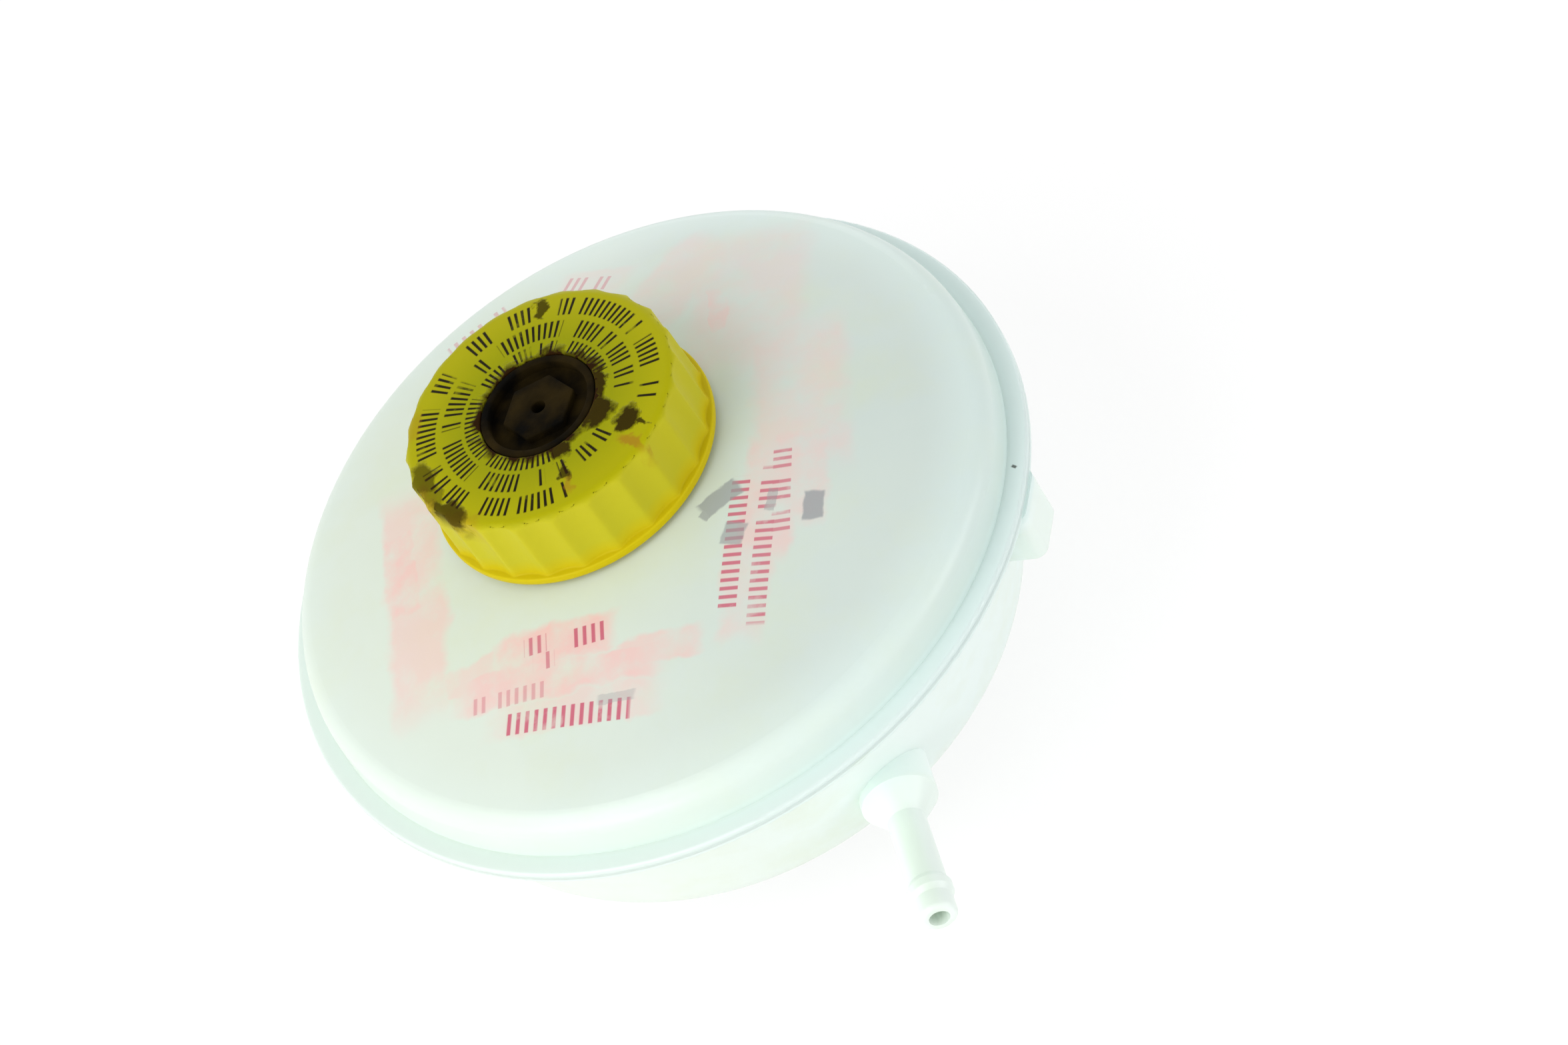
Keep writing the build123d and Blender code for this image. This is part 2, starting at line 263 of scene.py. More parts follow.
def wandering(tree, coords, size, reach):   # coordinates that stray by up to half of reach, for ragged edges
    ragged = addNode(tree, "ShaderNodeTexNoise", {"Vector": coords, "Scale": 1 / (size * mm), "Detail": 4.0})
    shifted = addNode(tree, "ShaderNodeVectorMath", {
        0: ragged.outputs["Color"], 1: (0.5, 0.5, 0.5)}, operation="SUBTRACT")
    return addNode(tree, "ShaderNodeVectorMath", {
        0: shifted.outputs[0], 1: (reach * mm,) * 3, 2: coords}, operation="MULTIPLY_ADD").outputs[0]


# materials, with sizes in mm

shellLook = {
    "left": "#DEE9DC", "right": "#D0DDD8",    # clear plastic gone slightly green with age; painted shade makes it darker and bluer to the right
    # the bowl is painted lighter and bluer to the right: painted light
    "bowlLeft": "#E8F2E7", "bowlLitRight": "#EFFEFA",
    "paintedLightLeft": "#E2F1E8", "paintedLightRight": "#E3F6F2",   # painted light on the flange and painted highlight on the top's shoulder, a little bluer to the right
    "cloud": 38, "sideShadeSpread": 90, "sideShadeStart": 0.1,   # how broadly the painted side light and shade change from left to right, and from where
    "paintedLightReach": (50, 60), "paintedLightShare": 0.45,   # from the middle, where the painted highlight lies on the shoulder
    "aged": "#D9E0B4", "agedPatch": 18, "agedFrom": (0.46, 0.74), "agedShare": 0.28,   # yellowed patches
    "weldSpan": (34.4, 38.2), "weldReach": (60.9, 62.4), "weldSoft": 0.6,   # where the flange is
    "seamHeight": 36.0, "seamHalf": 0.25, "seamSoft": 0.15, "seamBump": 0.35, "seamRise": 0.4,
    "spoutSpan": (34, 32),                    # below this, outside the bowl, are the lug and the nipple
    "spout": "#EEFBF3", "bore": "#D6E9CE",    # the lug and the nipple are painted lighter, a painted light through their thin walls; the nipple's bore is painted as a darker core, the painted shade of the bore seen through the wall
    "bores": [(20.5, -71.5, 90, 11, 1.6, 0.36)], "boreSoft": 0.6,
    "pink": "#FBB9B8", "red": "#CC5F78", "grey": "#969CA0", "fleck": "#3C423A",
    "printWear": 7.5, "fieldsLeft": (0.22, 0.56), "strokesLeft": (0.26, 0.42),
    "fields": [   # worn print: x, y, turn, half length, half width, and how much ink is left
        (-38.2, -2.0, 81, 22, 5.6, 0.42),
        (-39.7, 4.1, 83, 9, 3.2, 0.62),
        (-31.7, -23.1, -14, 5, 2.6, 0.35),
        (-17.2, -25.8, -14, 9.5, 3.4, 0.66),
        (-18.5, -31.5, -20, 17, 3.2, 0.58),
        (-1.4, -35.3, -15, 6.5, 2.6, 0.44),
        (-17.7, -38.3, -20, 14, 3.0, 0.36),
        (32.8, 0.1, 80, 15, 7.6, 0.28),
        (29.6, 26.2, 75, 16, 10, 0.22),
        (18.5, 37.7, 40, 11, 6, 0.24),
        (24.3, 26.0, 80, 5.5, 1.8, 0.42),
        (28.8, -16.0, 70, 9, 4.6, 0.42),
        (22.9, -17.5, 67, 11, 4.5, 0.42),
        (14.7, -31.7, 67, 9, 4.2, 0.28),
        (5.1, 47.0, -30, 7, 3.6, 0.18),
    ],
    "fieldSoft": 0.22, "fieldTorn": (3, 2), "fieldBent": (9, 5),   # size and reach of the ragged edge
    "rows": [     # rows of plain strokes: the same, and the strokes' spacing
        (-20.2, -24.3, -14, 2.0, 1.6, 0.8, 1.5),
        (-19.6, -27.8, -14, 1.9, 1.5, 0.7, 1.5),
        (-11.2, -27.4, -14, 3.0, 1.7, 0.95, 1.5),
        (-27.7, -30.4, -17, 7.5, 1.4, 0.45, 1.5),
        (-20.0, -38.4, -22, 12.2, 1.8, 0.95, 1.6),
        (15.2, -23.5, 68, 12, 1.5, 0.9, 1.5),
        (19.5, -25.8, 68, 14.2, 1.5, 0.85, 1.5),
        (24.8, -18.2, 73, 8.6, 1.5, 0.75, 1.5),
        (4.0, 48.0, -35, 5, 1.6, 0.5, 1.6),
        (-17, 51.0, 15, 6, 1.4, 0.45, 1.7),
    ],
    "smudges": [
        (15.4, -14.4, 18, 3.6, 1.7, 0.75),
        (12.9, -15.8, 40, 1.8, 0.9, 0.7),
        (15.7, -21.9, 60, 2.0, 1.9, 0.65),
        (22.9, -18.7, 65, 2.0, 0.8, 0.5),
        (28.8, -22.7, -20, 1.7, 2.6, 0.8),
        (-10.2, -40.2, -20, 3.2, 0.9, 0.35),
    ],
    "smudgeSoft": 0.12, "smudgeTorn": (3, 1.4),
    "flecks": [(58.7, -22.9, -52, 0.45, 0.25, 0.9)], "fleckSoft": 0.4,
    "grainSize": 0.9, "grainBump": 0.05, "grainRise": 0.2,
    "swellSize": 16, "swellBump": 0.25, "swellRise": 1.2,
    "roughness": (0.29, 0.41), "ior": 1.49,
    "glow": 0.3, "depth": 3.0, "depthByColour": (1.0, 1.0, 0.92),   # how far light travels in the wall
}


# moulded polypropylene, aged: milky and a little green, light goes some way into it, soft broad highlights
def mouldedPolypropylene(name, printed):
    made, tree = newMaterial(name)
    coords = addNode(tree, "ShaderNodeTexCoord").outputs["Object"]
    cloud = addNode(tree, "ShaderNodeTexNoise", {
        "Vector": coords, "Scale": 1 / (shellLook["cloud"] * mm), "Detail": 3.0, "Roughness": 0.55})
    parts = addNode(tree, "ShaderNodeSeparateXYZ", {0: coords})
    level = parts.outputs[2]
    # painted light and shade: the colours run from left to right as the light falls, mixed with a random
    # cloud of tone
    sideShadeAndCloudSum = addNode(tree, "ShaderNodeMath", {
        0: parts.outputs[0], 1: 1 / (shellLook["sideShadeSpread"] * mm), 2: cloud.outputs[0]},
        operation="MULTIPLY_ADD")
    sideShadeAndCloud = addNode(tree, "ShaderNodeMapRange", {
        "Value": sideShadeAndCloudSum.outputs[0], "From Min": shellLook["sideShadeStart"]}).outputs[0]
    tints = [("left", "right") if printed else ("bowlLeft", "bowlLitRight"), ("paintedLightLeft", "paintedLightRight")]
    colour, paintedLight = (addNode(tree, "ShaderNodeMix", {
        0: sideShadeAndCloud, 6: linear(shellLook[left]), 7: linear(shellLook[right])},
        data_type="RGBA").outputs[2] for left, right in tints)

    patchy = addNode(tree, "ShaderNodeTexNoise", {
        "Vector": coords, "Scale": 1 / (shellLook["agedPatch"] * mm), "Detail": 5.0, "Roughness": 0.6})
    agedLow, agedHigh = shellLook["agedFrom"]
    aged = addNode(tree, "ShaderNodeMapRange", {
        "Value": patchy.outputs[0], "From Min": agedLow, "From Max": agedHigh,
        "To Max": shellLook["agedShare"]})
    layers = [(aged.outputs[0], linear(shellLook["aged"]))]
    flat = addNode(tree, "ShaderNodeVectorMath", {0: coords, 1: (1, 1, 0)}, operation="MULTIPLY")
    fromMiddle = addNode(tree, "ShaderNodeVectorMath", {
        0: flat.outputs[0]}, operation="LENGTH").outputs["Value"]
    rimInner, rimOuter = shellLook["weldReach"]
    onRim = addNode(tree, "ShaderNodeMapRange", {
        "Value": fromMiddle, "From Min": rimInner * mm, "From Max": rimOuter * mm})
    weldLow, weldHigh = shellLook["weldSpan"]
    atWeld = softWindow(tree, level, weldLow * mm, weldHigh * mm, shellLook["weldSoft"] * mm)
    onFlange = addNode(tree, "ShaderNodeMath", {
        0: onRim.outputs[0], 1: atWeld}, operation="MULTIPLY").outputs[0]

    if printed:
        # painted highlight: the shoulder is lightened
        shoulderInner, shoulderOuter = shellLook["paintedLightReach"]
        shoulderHighlight = addNode(tree, "ShaderNodeMapRange", {
            "Value": fromMiddle, "From Min": shoulderInner * mm, "From Max": shoulderOuter * mm,
            "To Max": shellLook["paintedLightShare"]}, interpolation_type="SMOOTHSTEP").outputs[0]
        worn = addNode(tree, "ShaderNodeTexNoise", {
            "Vector": coords, "Scale": 1 / (shellLook["printWear"] * mm), "Detail": 5.0, "Roughness": 0.55})
        fieldsLeft, strokesLeft = (addNode(tree, "ShaderNodeMapRange", {
            "Value": worn.outputs[0], "From Min": low, "From Max": high}).outputs[0]
            for low, high in (shellLook["fieldsLeft"], shellLook["strokesLeft"]))
        torn = wandering(tree, wandering(tree, coords, *shellLook["fieldTorn"]), *shellLook["fieldBent"])
        fields = addNode(tree, "ShaderNodeMath", {
            0: inkPatches(tree, torn, shellLook["fields"], shellLook["fieldSoft"]), 1: fieldsLeft},
            operation="MULTIPLY").outputs[0]
        rows = addNode(tree, "ShaderNodeMath", {
            0: strokeRows(tree, coords, shellLook["rows"]), 1: strokesLeft}, operation="MULTIPLY").outputs[0]
        smudgeCoords = wandering(tree, coords, *shellLook["smudgeTorn"])
        smudges = inkPatches(tree, smudgeCoords, shellLook["smudges"], shellLook["smudgeSoft"])
        flecks = inkPatches(tree, coords, shellLook["flecks"], shellLook["fleckSoft"])
        # painted highlight on the shoulder and painted light on the flange, then the print and the marks
        layers += [(shoulderHighlight, paintedLight), (onFlange, paintedLight), (fields, linear(shellLook["pink"])),
                   (rows, linear(shellLook["red"])), (smudges, linear(shellLook["grey"])),
                   (flecks, linear(shellLook["fleck"]))]
    else:
        # painted light on the flange, the lug and the nipple, and the painted shade of the nipple's bore
        spoutTop, spoutLow = shellLook["spoutSpan"]
        under = addNode(tree, "ShaderNodeMapRange", {
            "Value": level, "From Min": spoutTop * mm, "From Max": spoutLow * mm})
        onSpout = addNode(tree, "ShaderNodeMath", {
            0: onRim.outputs[0], 1: under.outputs[0]}, operation="MULTIPLY").outputs[0]
        bores = inkPatches(tree, coords, shellLook["bores"], shellLook["boreSoft"])
        layers += [(onFlange, paintedLight), (onSpout, linear(shellLook["spout"])),
                   (bores, linear(shellLook["bore"]))]
    for amount, shade in layers:
        colour = addNode(tree, "ShaderNodeMix", {
            0: amount, 6: colour, 7: shade}, data_type="RGBA").outputs[2]

    grain = addNode(tree, "ShaderNodeTexNoise", {
        "Vector": coords, "Scale": 1 / (shellLook["grainSize"] * mm), "Detail": 2.0})
    swell = addNode(tree, "ShaderNodeTexNoise", {
        "Vector": coords, "Scale": 1 / (shellLook["swellSize"] * mm), "Detail": 1.0})
    seamLow = (shellLook["seamHeight"] - shellLook["seamHalf"]) * mm
    seamHigh = (shellLook["seamHeight"] + shellLook["seamHalf"]) * mm
    seam = addNode(tree, "ShaderNodeMath", {
        0: onFlange, 1: softWindow(tree, level, seamLow, seamHigh, shellLook["seamSoft"] * mm)},
        operation="MULTIPLY")
    fine = addNode(tree, "ShaderNodeBump", {
        "Strength": shellLook["grainBump"], "Distance": shellLook["grainRise"] * mm,
        "Height": grain.outputs[0]})
    broad = addNode(tree, "ShaderNodeBump", {
        "Strength": shellLook["swellBump"], "Distance": shellLook["swellRise"] * mm,
        "Height": swell.outputs[0], "Normal": fine.outputs[0]})
    welded = addNode(tree, "ShaderNodeBump", {
        "Strength": shellLook["seamBump"], "Distance": shellLook["seamRise"] * mm,
        "Height": seam.outputs[0], "Normal": broad.outputs[0]})
    smooth, dull = shellLook["roughness"]
    shine = addNode(tree, "ShaderNodeMapRange", {"Value": swell.outputs[0], "To Min": smooth, "To Max": dull})
    body = addNode(tree, "ShaderNodeBsdfPrincipled", {
        "Base Color": colour, "Roughness": shine.outputs[0], "IOR": shellLook["ior"],
        "Normal": welded.outputs[0], "Subsurface Weight": shellLook["glow"],
        "Subsurface Radius": shellLook["depthByColour"], "Subsurface Scale": shellLook["depth"] * mm})
    addNode(tree, "ShaderNodeOutputMaterial", {"Surface": body.outputs[0]})
    return made


capLook = {
    # the top is painted darker than the side, painted shade from less light above and partly also dirt, and
    # turns lighter towards its rim; the lip is painted deeper orange, the painted shade of its thicker wall
    "side": "#C1BB26", "top": "#989A00", "topRim": "#AEAA04", "lip": "#CCB808",
    "ink": "#1A1400", "grime": "#281500", "rust": "#A8741C",
    "topFace": (1.2, 0.1), "lipZone": (5, 1.2),   # below the cap's top, and above its foot
    "rimReach": (13, 21),                     # from the axis, where the top's colour changes
    "inkWear": 5, "inkLeft": (0.28, 0.42),
    "rings": [   # radius, half height, number of steps, and the arcs in degrees where the print is left
        (19.7, 1.7, 112, [(-31, -18), (-10, 8), (16, 66), (80, 93), (101, 115), (130, 141), (150, 180),
                          (-172, -142), (-135, -86)]),
        (15.2, 1.7, 92, [(-88, -83), (-73, -50), (-20, 50), (61, 103), (114, 120), (131, 166), (177, 180),
                         (-180, -151), (-140, -97)]),
        (11.6, 1.2, 80, [(2, 52), (61, 136), (142, 180), (-180, -155), (-147, -88)]),
    ],
    "stains": [  # grime: x, y, turn, half length, half width, amount
        (8.5, -5.0, 49, 2.4, 2.3, 0.95),
        (10.7, -7.4, 49, 0.7, 1.5, 0.9),
        (-26.0, 2.6, 10, 2.3, 4.1, 0.72),
        (-23.5, -5.8, 34, 1.9, 4.1, 0.85),
        (-25.0, -1.8, 22, 1.5, 2.6, 0.5),
        (0.2, 26.3, 76, 2.1, 1.0, 0.85),
        (-3.5, -9.9, 4, 0.9, 2.2, 0.85),
        (-3.0, -4.7, 9, 1.6, 2.3, 0.95),
        (4.3, -0.5, 52, 3.0, 2.8, 0.95),
        (5.7, 4.7, 80, 3.6, 1.5, 0.95),
        (4.0, 12.0, -58, 4.2, 1.3, 0.85),
        (-1.0, 15.8, -22, 1.5, 0.9, 0.8),
        (-10.7, 14.6, 36, 2.0, 0.9, 0.8),
    ],
    "rustStains": [
        (7.9, -10.2, 37, 0.9, 2.4, 0.7),
        (-3.5, -12.6, 4, 0.7, 1.4, 0.5),
        (-25.4, 14.5, 70, 3.0, 1.0, 0.3),
        (-22.6, -9.4, 40, 2.4, 3.6, 0.35),
        (-27.6, -1.6, 15, 2.0, 3.0, 0.4),
    ],
    "stainSoft": 0.2, "rustSoft": 0.5, "torn": (2.6, 5),   # size and reach of the ragged edge
    "dirtZone": (5.5, 1.2),                   # below the cap's top, how far the dirt runs down
    "ringDirt": (11.7, 10.3),                 # from the axis, dirt gathered against the insert
    "grainSize": 0.7, "grainBump": 0.10, "grainRise": 0.2, "crustBump": 0.5, "crustRise": 0.8,
    "roughness": (0.42, 0.85),                # clean and dirty
    "ior": 1.5, "specular": 0.07, "glow": 0.15, "depth": 2.0, "depthByColour": (1.0, 0.8, 0.25),
}


# moulded yellow polypropylene: satin, saturated, a little light goes in, the dirt on it is dull and stands up
def mouldedYellow(name):
    made, tree = newMaterial(name)
    coords = addNode(tree, "ShaderNodeTexCoord").outputs["Object"]
    axis = (neckX * mm, neckY * mm, 0)
    onNeck = addNode(tree, "ShaderNodeMapping", {
        "Vector": coords, "Location": axis}, vector_type="TEXTURE").outputs[0]
    parts = addNode(tree, "ShaderNodeSeparateXYZ", {0: onNeck})
    level = parts.outputs[2]
    flat = addNode(tree, "ShaderNodeVectorMath", {0: onNeck, 1: (1, 1, 0)}, operation="MULTIPLY")
    reach = addNode(tree, "ShaderNodeVectorMath", {0: flat.outputs[0]}, operation="LENGTH").outputs["Value"]
    angle = addNode(tree, "ShaderNodeMath", {
        0: parts.outputs[1], 1: parts.outputs[0]}, operation="ARCTAN2").outputs[0]

    faceStart, faceFull = (capHigh.z - below for below in capLook["topFace"])
    topFace = addNode(tree, "ShaderNodeMapRange", {
        "Value": level, "From Min": faceStart * mm, "From Max": faceFull * mm},
        interpolation_type="SMOOTHSTEP").outputs[0]
    lipStart, lipFull = (capLow.z + above for above in capLook["lipZone"])
    onLip = addNode(tree, "ShaderNodeMapRange", {
        "Value": level, "From Min": lipStart * mm, "From Max": lipFull * mm})
    # painted shade: the lip deeper orange and the top darker than the side, the top partly also dirty
    side = addNode(tree, "ShaderNodeMix", {
        0: onLip.outputs[0], 6: linear(capLook["side"]), 7: linear(capLook["lip"])}, data_type="RGBA")
    rimInner, rimOuter = capLook["rimReach"]
    outward = addNode(tree, "ShaderNodeMapRange", {
        "Value": reach, "From Min": rimInner * mm, "From Max": rimOuter * mm})
    top = addNode(tree, "ShaderNodeMix", {
        0: outward.outputs[0], 6: linear(capLook["top"]), 7: linear(capLook["topRim"])}, data_type="RGBA")
    colour = addNode(tree, "ShaderNodeMix", {
        0: topFace, 6: side.outputs[2], 7: top.outputs[2]}, data_type="RGBA").outputs[2]

    worn = addNode(tree, "ShaderNodeTexNoise", {
        "Vector": coords, "Scale": 1 / (capLook["inkWear"] * mm), "Detail": 5.0})
    wornLow, wornHigh = capLook["inkLeft"]
    left = addNode(tree, "ShaderNodeMapRange", {
        "Value": worn.outputs[0], "From Min": wornLow, "From Max": wornHigh})
    ink = addNode(tree, "ShaderNodeMath", {
        0: strokeRings(tree, reach, angle, capLook["rings"]), 1: left.outputs[0]}, operation="MULTIPLY")
    ink = addNode(tree, "ShaderNodeMath", {0: ink.outputs[0], 1: topFace}, operation="MULTIPLY").outputs[0]

    torn = wandering(tree, coords, *capLook["torn"])
    dirtStart, dirtFull = (capHigh.z - below for below in capLook["dirtZone"])
    nearTop = addNode(tree, "ShaderNodeMapRange", {
        "Value": level, "From Min": dirtStart * mm, "From Max": dirtFull * mm}).outputs[0]
    rust = addNode(tree, "ShaderNodeMath", {
        0: inkPatches(tree, torn, capLook["rustStains"], capLook["rustSoft"]), 1: nearTop},
        operation="MULTIPLY").outputs[0]
    tornOnNeck = addNode(tree, "ShaderNodeVectorMath", {0: torn, 1: axis}, operation="SUBTRACT")
    tornFlat = addNode(tree, "ShaderNodeVectorMath", {
        0: tornOnNeck.outputs[0], 1: (1, 1, 0)}, operation="MULTIPLY")
    tornReach = addNode(tree, "ShaderNodeVectorMath", {0: tornFlat.outputs[0]}, operation="LENGTH")
    ringOuter, ringInner = capLook["ringDirt"]
    ringDirt = addNode(tree, "ShaderNodeMapRange", {
        "Value": tornReach.outputs["Value"], "From Min": ringOuter * mm, "From Max": ringInner * mm})
    dirt = addNode(tree, "ShaderNodeMath", {
        0: roundStains(tree, torn, capLook["stains"], capLook["stainSoft"]), 1: ringDirt.outputs[0]},
        operation="MAXIMUM")
    dirt = addNode(tree, "ShaderNodeMath", {0: dirt.outputs[0], 1: nearTop}, operation="MULTIPLY").outputs[0]
    for amount, shade in ((ink, "ink"), (rust, "rust"), (dirt, "grime")):
        colour = addNode(tree, "ShaderNodeMix", {
            0: amount, 6: colour, 7: linear(capLook[shade])}, data_type="RGBA").outputs[2]

    grain = addNode(tree, "ShaderNodeTexNoise", {
        "Vector": coords, "Scale": 1 / (capLook["grainSize"] * mm), "Detail": 2.0})
    fine = addNode(tree, "ShaderNodeBump", {
        "Strength": capLook["grainBump"], "Distance": capLook["grainRise"] * mm, "Height": grain.outputs[0]})
    crust = addNode(tree, "ShaderNodeBump", {
        "Strength": capLook["crustBump"], "Distance": capLook["crustRise"] * mm, "Height": dirt,
        "Normal": fine.outputs[0]})
    clean, dirty = capLook["roughness"]
    shine = addNode(tree, "ShaderNodeMapRange", {"Value": dirt, "To Min": clean, "To Max": dirty})
    body = addNode(tree, "ShaderNodeBsdfPrincipled", {
        "Base Color": colour, "Roughness": shine.outputs[0], "IOR": capLook["ior"],
        "Normal": crust.outputs[0], "Specular IOR Level": capLook["specular"],
        "Subsurface Weight": capLook["glow"], "Subsurface Radius": capLook["depthByColour"],
        "Subsurface Scale": capLook["depth"] * mm})
    addNode(tree, "ShaderNodeOutputMaterial", {"Surface": body.outputs[0]})
    return made


def plainMoulded(name, look):
    made, tree = newMaterial(name)
    coords = addNode(tree, "ShaderNodeTexCoord").outputs["Object"]
    cloud = addNode(tree, "ShaderNodeTexNoise", {
        "Vector": coords, "Scale": 1 / (look["cloud"] * mm), "Detail": 5.0})
    spread = addNode(tree, "ShaderNodeMapRange", {
        "Value": cloud.outputs[0], "From Min": 0.38, "From Max": 0.68})   # the noise's usual span
    colour = addNode(tree, "ShaderNodeMix", {
        0: spread.outputs[0], 6: linear(look["dark"]), 7: linear(look["light"])}, data_type="RGBA")
    grain = addNode(tree, "ShaderNodeTexNoise", {
        "Vector": coords, "Scale": 1 / (look["grain"] * mm), "Detail": 3.0})
    bump = addNode(tree, "ShaderNodeBump", {
        "Strength": look["bump"], "Distance": look["rise"] * mm, "Height": grain.outputs[0]})
    smooth, dull = look["roughness"]
    shine = addNode(tree, "ShaderNodeMapRange", {"Value": grain.outputs[0], "To Min": smooth, "To Max": dull})
    body = addNode(tree, "ShaderNodeBsdfPrincipled", {
        "Base Color": colour.outputs[2], "Roughness": shine.outputs[0], "IOR": look["ior"],
        "Normal": bump.outputs[0], "Specular IOR Level": look["specular"],
        "Subsurface Weight": look["glow"], "Subsurface Scale": look["depth"] * mm})
    addNode(tree, "ShaderNodeOutputMaterial", {"Surface": body.outputs[0]})
    return made


# moulded nylon under old brake dirt: near black, brown in places, with no gloss left
blackNylon = {
    "dark": "#030200", "light": "#2A2008", "cloud": 7.2, "grain": 1.2, "bump": 0.3, "rise": 0.3,
    "roughness": (0.77, 0.93), "ior": 1.53, "specular": 0.05, "glow": 0.0, "depth": 2.0}
# moulded rubber ring: dark grey and dull
nitrileRubber = {
    "dark": "#1B1B1B", "light": "#262626", "cloud": 3.6, "grain": 0.6, "bump": 0.3, "rise": 0.3,
    "roughness": (0.62, 0.78), "ior": 1.52, "specular": 0.4, "glow": 0.0, "depth": 2.0}
# moulded basket: clean off-white that light goes into, half glossy
whiteNylon = {
    "dark": "#D6D9CE", "light": "#E4E6DC", "cloud": 4.8, "grain": 0.8, "bump": 0.3, "rise": 0.3,
    "roughness": (0.37, 0.53), "ior": 1.53, "specular": 0.5, "glow": 0.3, "depth": 2.0}

finishes = {
    "upper_shell": mouldedPolypropylene("agedPolypropyleneTop", True),
    "lower_shell": mouldedPolypropylene("agedPolypropyleneBowl", False),
    "filler_cap": mouldedYellow("yellowPolypropylene"),
    "cap_insert": plainMoulded("dirtyBlackNylon", blackNylon),
    "cap_seal": plainMoulded("nitrileRubber", nitrileRubber),
    "strainer": plainMoulded("whiteNylon", whiteNylon),
}
for nodeName, finish in finishes.items():
    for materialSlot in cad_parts[nodeName].material_slots:
        materialSlot.material = finish
print("materials are on the parts")


# modelling helpers, all round the neck's axis and in mm

near = 0.02        # how close a point lies to be taken as on a ring
nearAngle = 0.1    # the same round the axis, in degrees
edgeFinish = {"bevelFrom": 35, "smoothUpTo": 38}   # degrees between faces


def aroundNeck(place):
    x, y = place.x - neckX, place.y - neckY
    return math.hypot(x, y), math.degrees(math.atan2(y, x))


def selectPlaces(test):
    mesh = bmesh.from_edit_mesh(bpy.context.object.data)
    origin = bpy.context.object.location
    for vert in mesh.verts:
        vert.select = bool(test((vert.co + origin) / mm))
    mesh.select_flush_mode()
    bmesh.update_edit_mesh(bpy.context.object.data)


def scaleOnNeck(grow, height=0.0, tall=1.0):
    middle = (neckX * mm, neckY * mm, height * mm)
    bpy.ops.transform.resize(value=(grow, grow, tall), center_override=middle)


def turnedOnNeck(name, rings, count):   # a closed ring of outline points, each a radius and a height
    bpy.ops.object.select_all(action="DESELECT")
    radius, z = rings[0]
    bpy.ops.mesh.primitive_circle_add(
        vertices=count, radius=radius * mm, location=(neckX * mm, neckY * mm, z * mm))
    bpy.context.object.name = name
    bpy.ops.object.mode_set(mode="EDIT")
    bpy.ops.mesh.select_mode(type="VERT")
    bpy.ops.mesh.select_all(action="SELECT")
    for nextRadius, nextZ in rings[1:] + rings[:1]:
        bpy.ops.mesh.extrude_region_move(TRANSFORM_OT_translate={"value": (0, 0, (nextZ - z) * mm)})
        scaleOnNeck(nextRadius / radius)
        radius, z = nextRadius, nextZ
    bpy.ops.mesh.select_all(action="SELECT")
    bpy.ops.mesh.remove_doubles(threshold=0.001 * mm)
    bpy.ops.mesh.normals_make_consistent(inside=False)
    return bpy.context.object


def finishPiece(piece, body, node, bevelWidth, bevelSteps):
    bpy.ops.object.mode_set(mode="OBJECT")
    bpy.ops.object.transform_apply(location=True, rotation=True, scale=True)
    soft = piece.modifiers.new("softEdges", "BEVEL")
    soft.width = bevelWidth * mm
    soft.segments = bevelSteps
    soft.limit_method = "ANGLE"
    soft.angle_limit = math.radians(edgeFinish["bevelFrom"])
    bpy.ops.object.modifier_apply(modifier=soft.name)
    bpy.ops.object.shade_smooth_by_angle(angle=math.radians(edgeFinish["smoothUpTo"]))
    piece.data.materials.clear()
    piece.data.materials.append(finishes[node])
    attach(piece, body)
    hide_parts(node)


# screw cap

cap = {
    "lipHeight": 1.8, "lipRound": 0.8, "lipStep": 0.4, "flare": 0.2, "edgeRound": 2.0,
    "bore": 20.6, "roof": 2.2, "boreLead": 0.5,
    "flutes": 24, "fluteDepth": 0.92, "fluteRadius": 8.0, "ridgeWear": 0.2, "stepsToFlute": 10,
    "recess": 10.15, "recessDepth": 3.4, "cup": 11.65, "cupFloor": 1.5, "vent": 1.2,
    "faceRings": (16, 11.4), "floorRing": 6, "roofRing": 16,   # radii that only divide wide flat faces
    "sideSteps": 4, "lipTurns": (-90, -60, -30, 0), "edgeTurn": 15,   # degrees
    "starts": 2, "threadRise": 1.7, "threadTurns": 0.775, "threadAngle": 126.0, "threadSteps": 96,
    "lead": 8.0, "ridgeHeight": 1.1, "ridgeRoot": 1.8, "ridgeCrest": 0.9, "ridgeBite": 0.25,
    "bevel": 0.32, "bevelSteps": 3,
}


def fluteCut(degreesAway):   # how far the flute's round bottom lies under the skirt, seen from the axis
    skirt = (capHigh.x - capLow.x) / 2 - cap["lipStep"]
    centre = skirt + cap["fluteRadius"] - cap["fluteDepth"]
    away = math.radians(degreesAway)
    surface = centre * math.cos(away) - math.sqrt(cap["fluteRadius"] ** 2 - (centre * math.sin(away)) ** 2)
    return max(skirt - surface, cap["ridgeWear"])


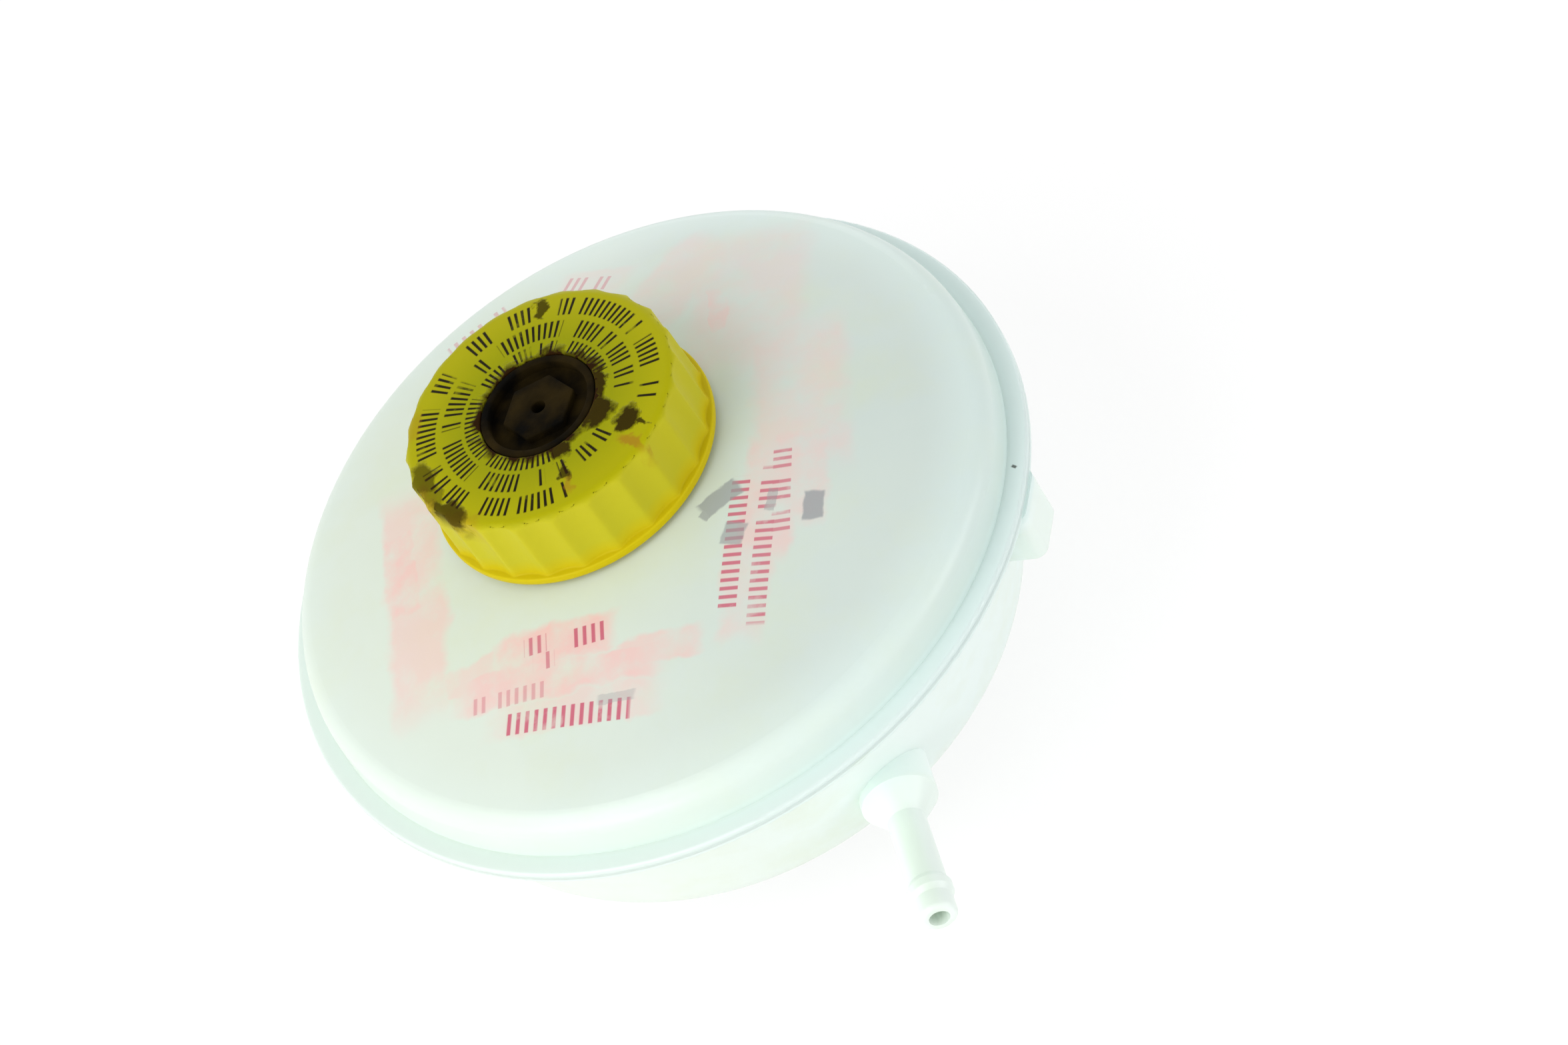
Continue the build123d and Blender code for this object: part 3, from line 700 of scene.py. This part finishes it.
def capThread(startAngle):
    low = capLow.z + cap["threadRise"]
    middle = (neckX * mm, neckY * mm, low * mm)
    bpy.ops.object.select_all(action="DESELECT")
    bpy.ops.mesh.primitive_plane_add(size=1.0, location=middle)
    ridge = bpy.context.object
    bpy.ops.object.mode_set(mode="EDIT")
    bpy.ops.mesh.select_all(action="SELECT")
    bpy.ops.transform.rotate(value=math.radians(90), orient_axis="X", center_override=middle)
    depth = cap["ridgeHeight"] + cap["ridgeBite"]
    bpy.ops.transform.resize(value=(depth * mm, 1, cap["ridgeRoot"] * mm), center_override=middle)
    reach = cap["bore"] - cap["ridgeHeight"] + depth / 2
    bpy.ops.transform.translate(value=(reach * mm, 0, 0))
    selectPlaces(lambda place: aroundNeck(place)[0] < reach)
    scaleOnNeck(1, low, cap["ridgeCrest"] / cap["ridgeRoot"])
    bpy.ops.mesh.select_all(action="SELECT")
    bpy.ops.mesh.delete(type="ONLY_FACE")
    bpy.ops.object.mode_set(mode="OBJECT")
    wind = ridge.modifiers.new("wind", "SCREW")
    wind.axis = "Z"
    wind.angle = math.tau * cap["threadTurns"]
    wind.screw_offset = cap["lead"] * cap["threadTurns"] * mm
    wind.steps = wind.render_steps = int(cap["threadSteps"] * cap["threadTurns"])
    bpy.ops.object.modifier_apply(modifier=wind.name)
    bpy.ops.object.mode_set(mode="EDIT")
    bpy.ops.mesh.select_all(action="DESELECT")
    bpy.ops.mesh.select_non_manifold()
    bpy.ops.mesh.edge_face_add()
    bpy.ops.mesh.select_all(action="SELECT")
    bpy.ops.mesh.normals_make_consistent(inside=False)
    bpy.ops.object.mode_set(mode="OBJECT")
    ridge.rotation_euler.z = math.radians(startAngle)
    bpy.ops.object.transform_apply(location=True, rotation=True, scale=True)
    return ridge


def capSide():   # the fluted side and the rounded edge above it, each ring with the side's own radius there
    top = capHigh.z
    lip = capLow.z + cap["lipHeight"]
    skirtRadius = (capHigh.x - capLow.x) / 2 - cap["lipStep"]
    edgeLow = top - cap["edgeRound"]
    rings = []
    for step in range(cap["sideSteps"]):
        z = lip + (edgeLow - lip) * step / cap["sideSteps"]
        side = skirtRadius - cap["flare"] * (z - lip) / (top - lip)
        rings.append((side, z, side))
    for turn in range(0, 91, cap["edgeTurn"]):
        angle = math.radians(turn)
        z = edgeLow + cap["edgeRound"] * math.sin(angle)
        side = skirtRadius - cap["flare"] * (z - lip) / (top - lip)
        rings.append((side - cap["edgeRound"] * (1 - math.cos(angle)), z, side))
    return rings


def makeCap():
    low, top = capLow.z, capHigh.z
    floor = top - cap["recessDepth"]
    cupFoot = floor - cap["cupFloor"]
    roof = top - cap["roof"]
    lipRadius = (capHigh.x - capLow.x) / 2
    rings = [(cap["bore"] + cap["boreLead"], low)]
    for turn in cap["lipTurns"]:
        angle = math.radians(turn)
        rings.append((lipRadius - cap["lipRound"] * (1 - math.cos(angle)),
                      low + cap["lipRound"] * (1 + math.sin(angle))))
    rings.append((lipRadius, low + cap["lipHeight"]))
    sideRings = capSide()
    rings += [(radius, z) for radius, z, side in sideRings]
    rings += [(radius, top) for radius in cap["faceRings"]]
    rings += [(cap["recess"], top), (cap["recess"], floor), (cap["floorRing"], floor), (cap["vent"], floor),
              (cap["vent"], cupFoot), (cap["floorRing"], cupFoot), (cap["cup"], cupFoot), (cap["cup"], roof),
              (cap["roofRing"], roof), (cap["bore"], roof), (cap["bore"], low + cap["boreLead"])]
    piece = turnedOnNeck("fillerCap", rings, cap["flutes"] * cap["stepsToFlute"])

    pitch = 360 / cap["flutes"]
    stepAngle = pitch / cap["stepsToFlute"]
    for radius, z, side in sideRings:
        for step in range(cap["stepsToFlute"] // 2 + 1):
            target = side - fluteCut(step * stepAngle)
            if target >= radius:
                continue

            def onFlute(place):
                reach, angle = aroundNeck(place)
                away = abs((angle + pitch / 2) % pitch - pitch / 2)
                onRing = abs(reach - radius) < near and abs(place.z - z) < near
                return onRing and abs(away - step * stepAngle) < nearAngle
            selectPlaces(onFlute)
            scaleOnNeck(target / radius)
    finishPiece(piece, "cap", "filler_cap", cap["bevel"], cap["bevelSteps"])
    for start in range(cap["starts"]):
        ridge = capThread(cap["threadAngle"] + start * 360 / cap["starts"])
        ridge.select_set(True)
        piece.select_set(True)
        bpy.context.view_layer.objects.active = piece
        bpy.ops.object.join()


# insert in the middle of the cap

insert = {
    "floor": 1.4, "rimWidth": 1.3, "vent": 1.2,
    "sunk": 0.06,                             # its rim lies a hair below the cap's face
    "hexagon": 5.5, "hexHeight": 1.6, "stepsToSide": 16,   # half the hexagon's width across its sides
    "footRing": 6, "floorRing": 7.4, "hexRing": 3,   # radii that only divide wide flat faces
    "bevel": 0.28, "bevelSteps": 3,
}


def makeInsert():
    low, top = insertLow.z, insertHigh.z - insert["sunk"]
    outer = (insertHigh.x - insertLow.x) / 2
    inner = outer - insert["rimWidth"]
    floor = low + insert["floor"]
    hexTop = floor + insert["hexHeight"]
    rings = [(insert["vent"], low), (insert["footRing"], low), (outer, low), (outer, top), (inner, top),
             (inner, floor), (insert["floorRing"], floor), (insert["hexagon"], floor),
             (insert["hexagon"], hexTop), (insert["hexRing"], hexTop), (insert["vent"], hexTop)]
    piece = turnedOnNeck("capInsert", rings, 6 * insert["stepsToSide"])
    for step in range(insert["stepsToSide"] // 2 + 1):
        away = step * 60 / insert["stepsToSide"]

        def onHexagon(place):
            radius, angle = aroundNeck(place)
            onSide = abs(abs(angle % 60 - 30) - away) < nearAngle
            return abs(radius - insert["hexagon"]) < near and place.z > floor - near and onSide
        selectPlaces(onHexagon)
        scaleOnNeck(1 / math.cos(math.radians(away)))
    finishPiece(piece, "cap", "cap_insert", insert["bevel"], insert["bevelSteps"])


makeCap()
makeInsert()
print("cap and insert are made")
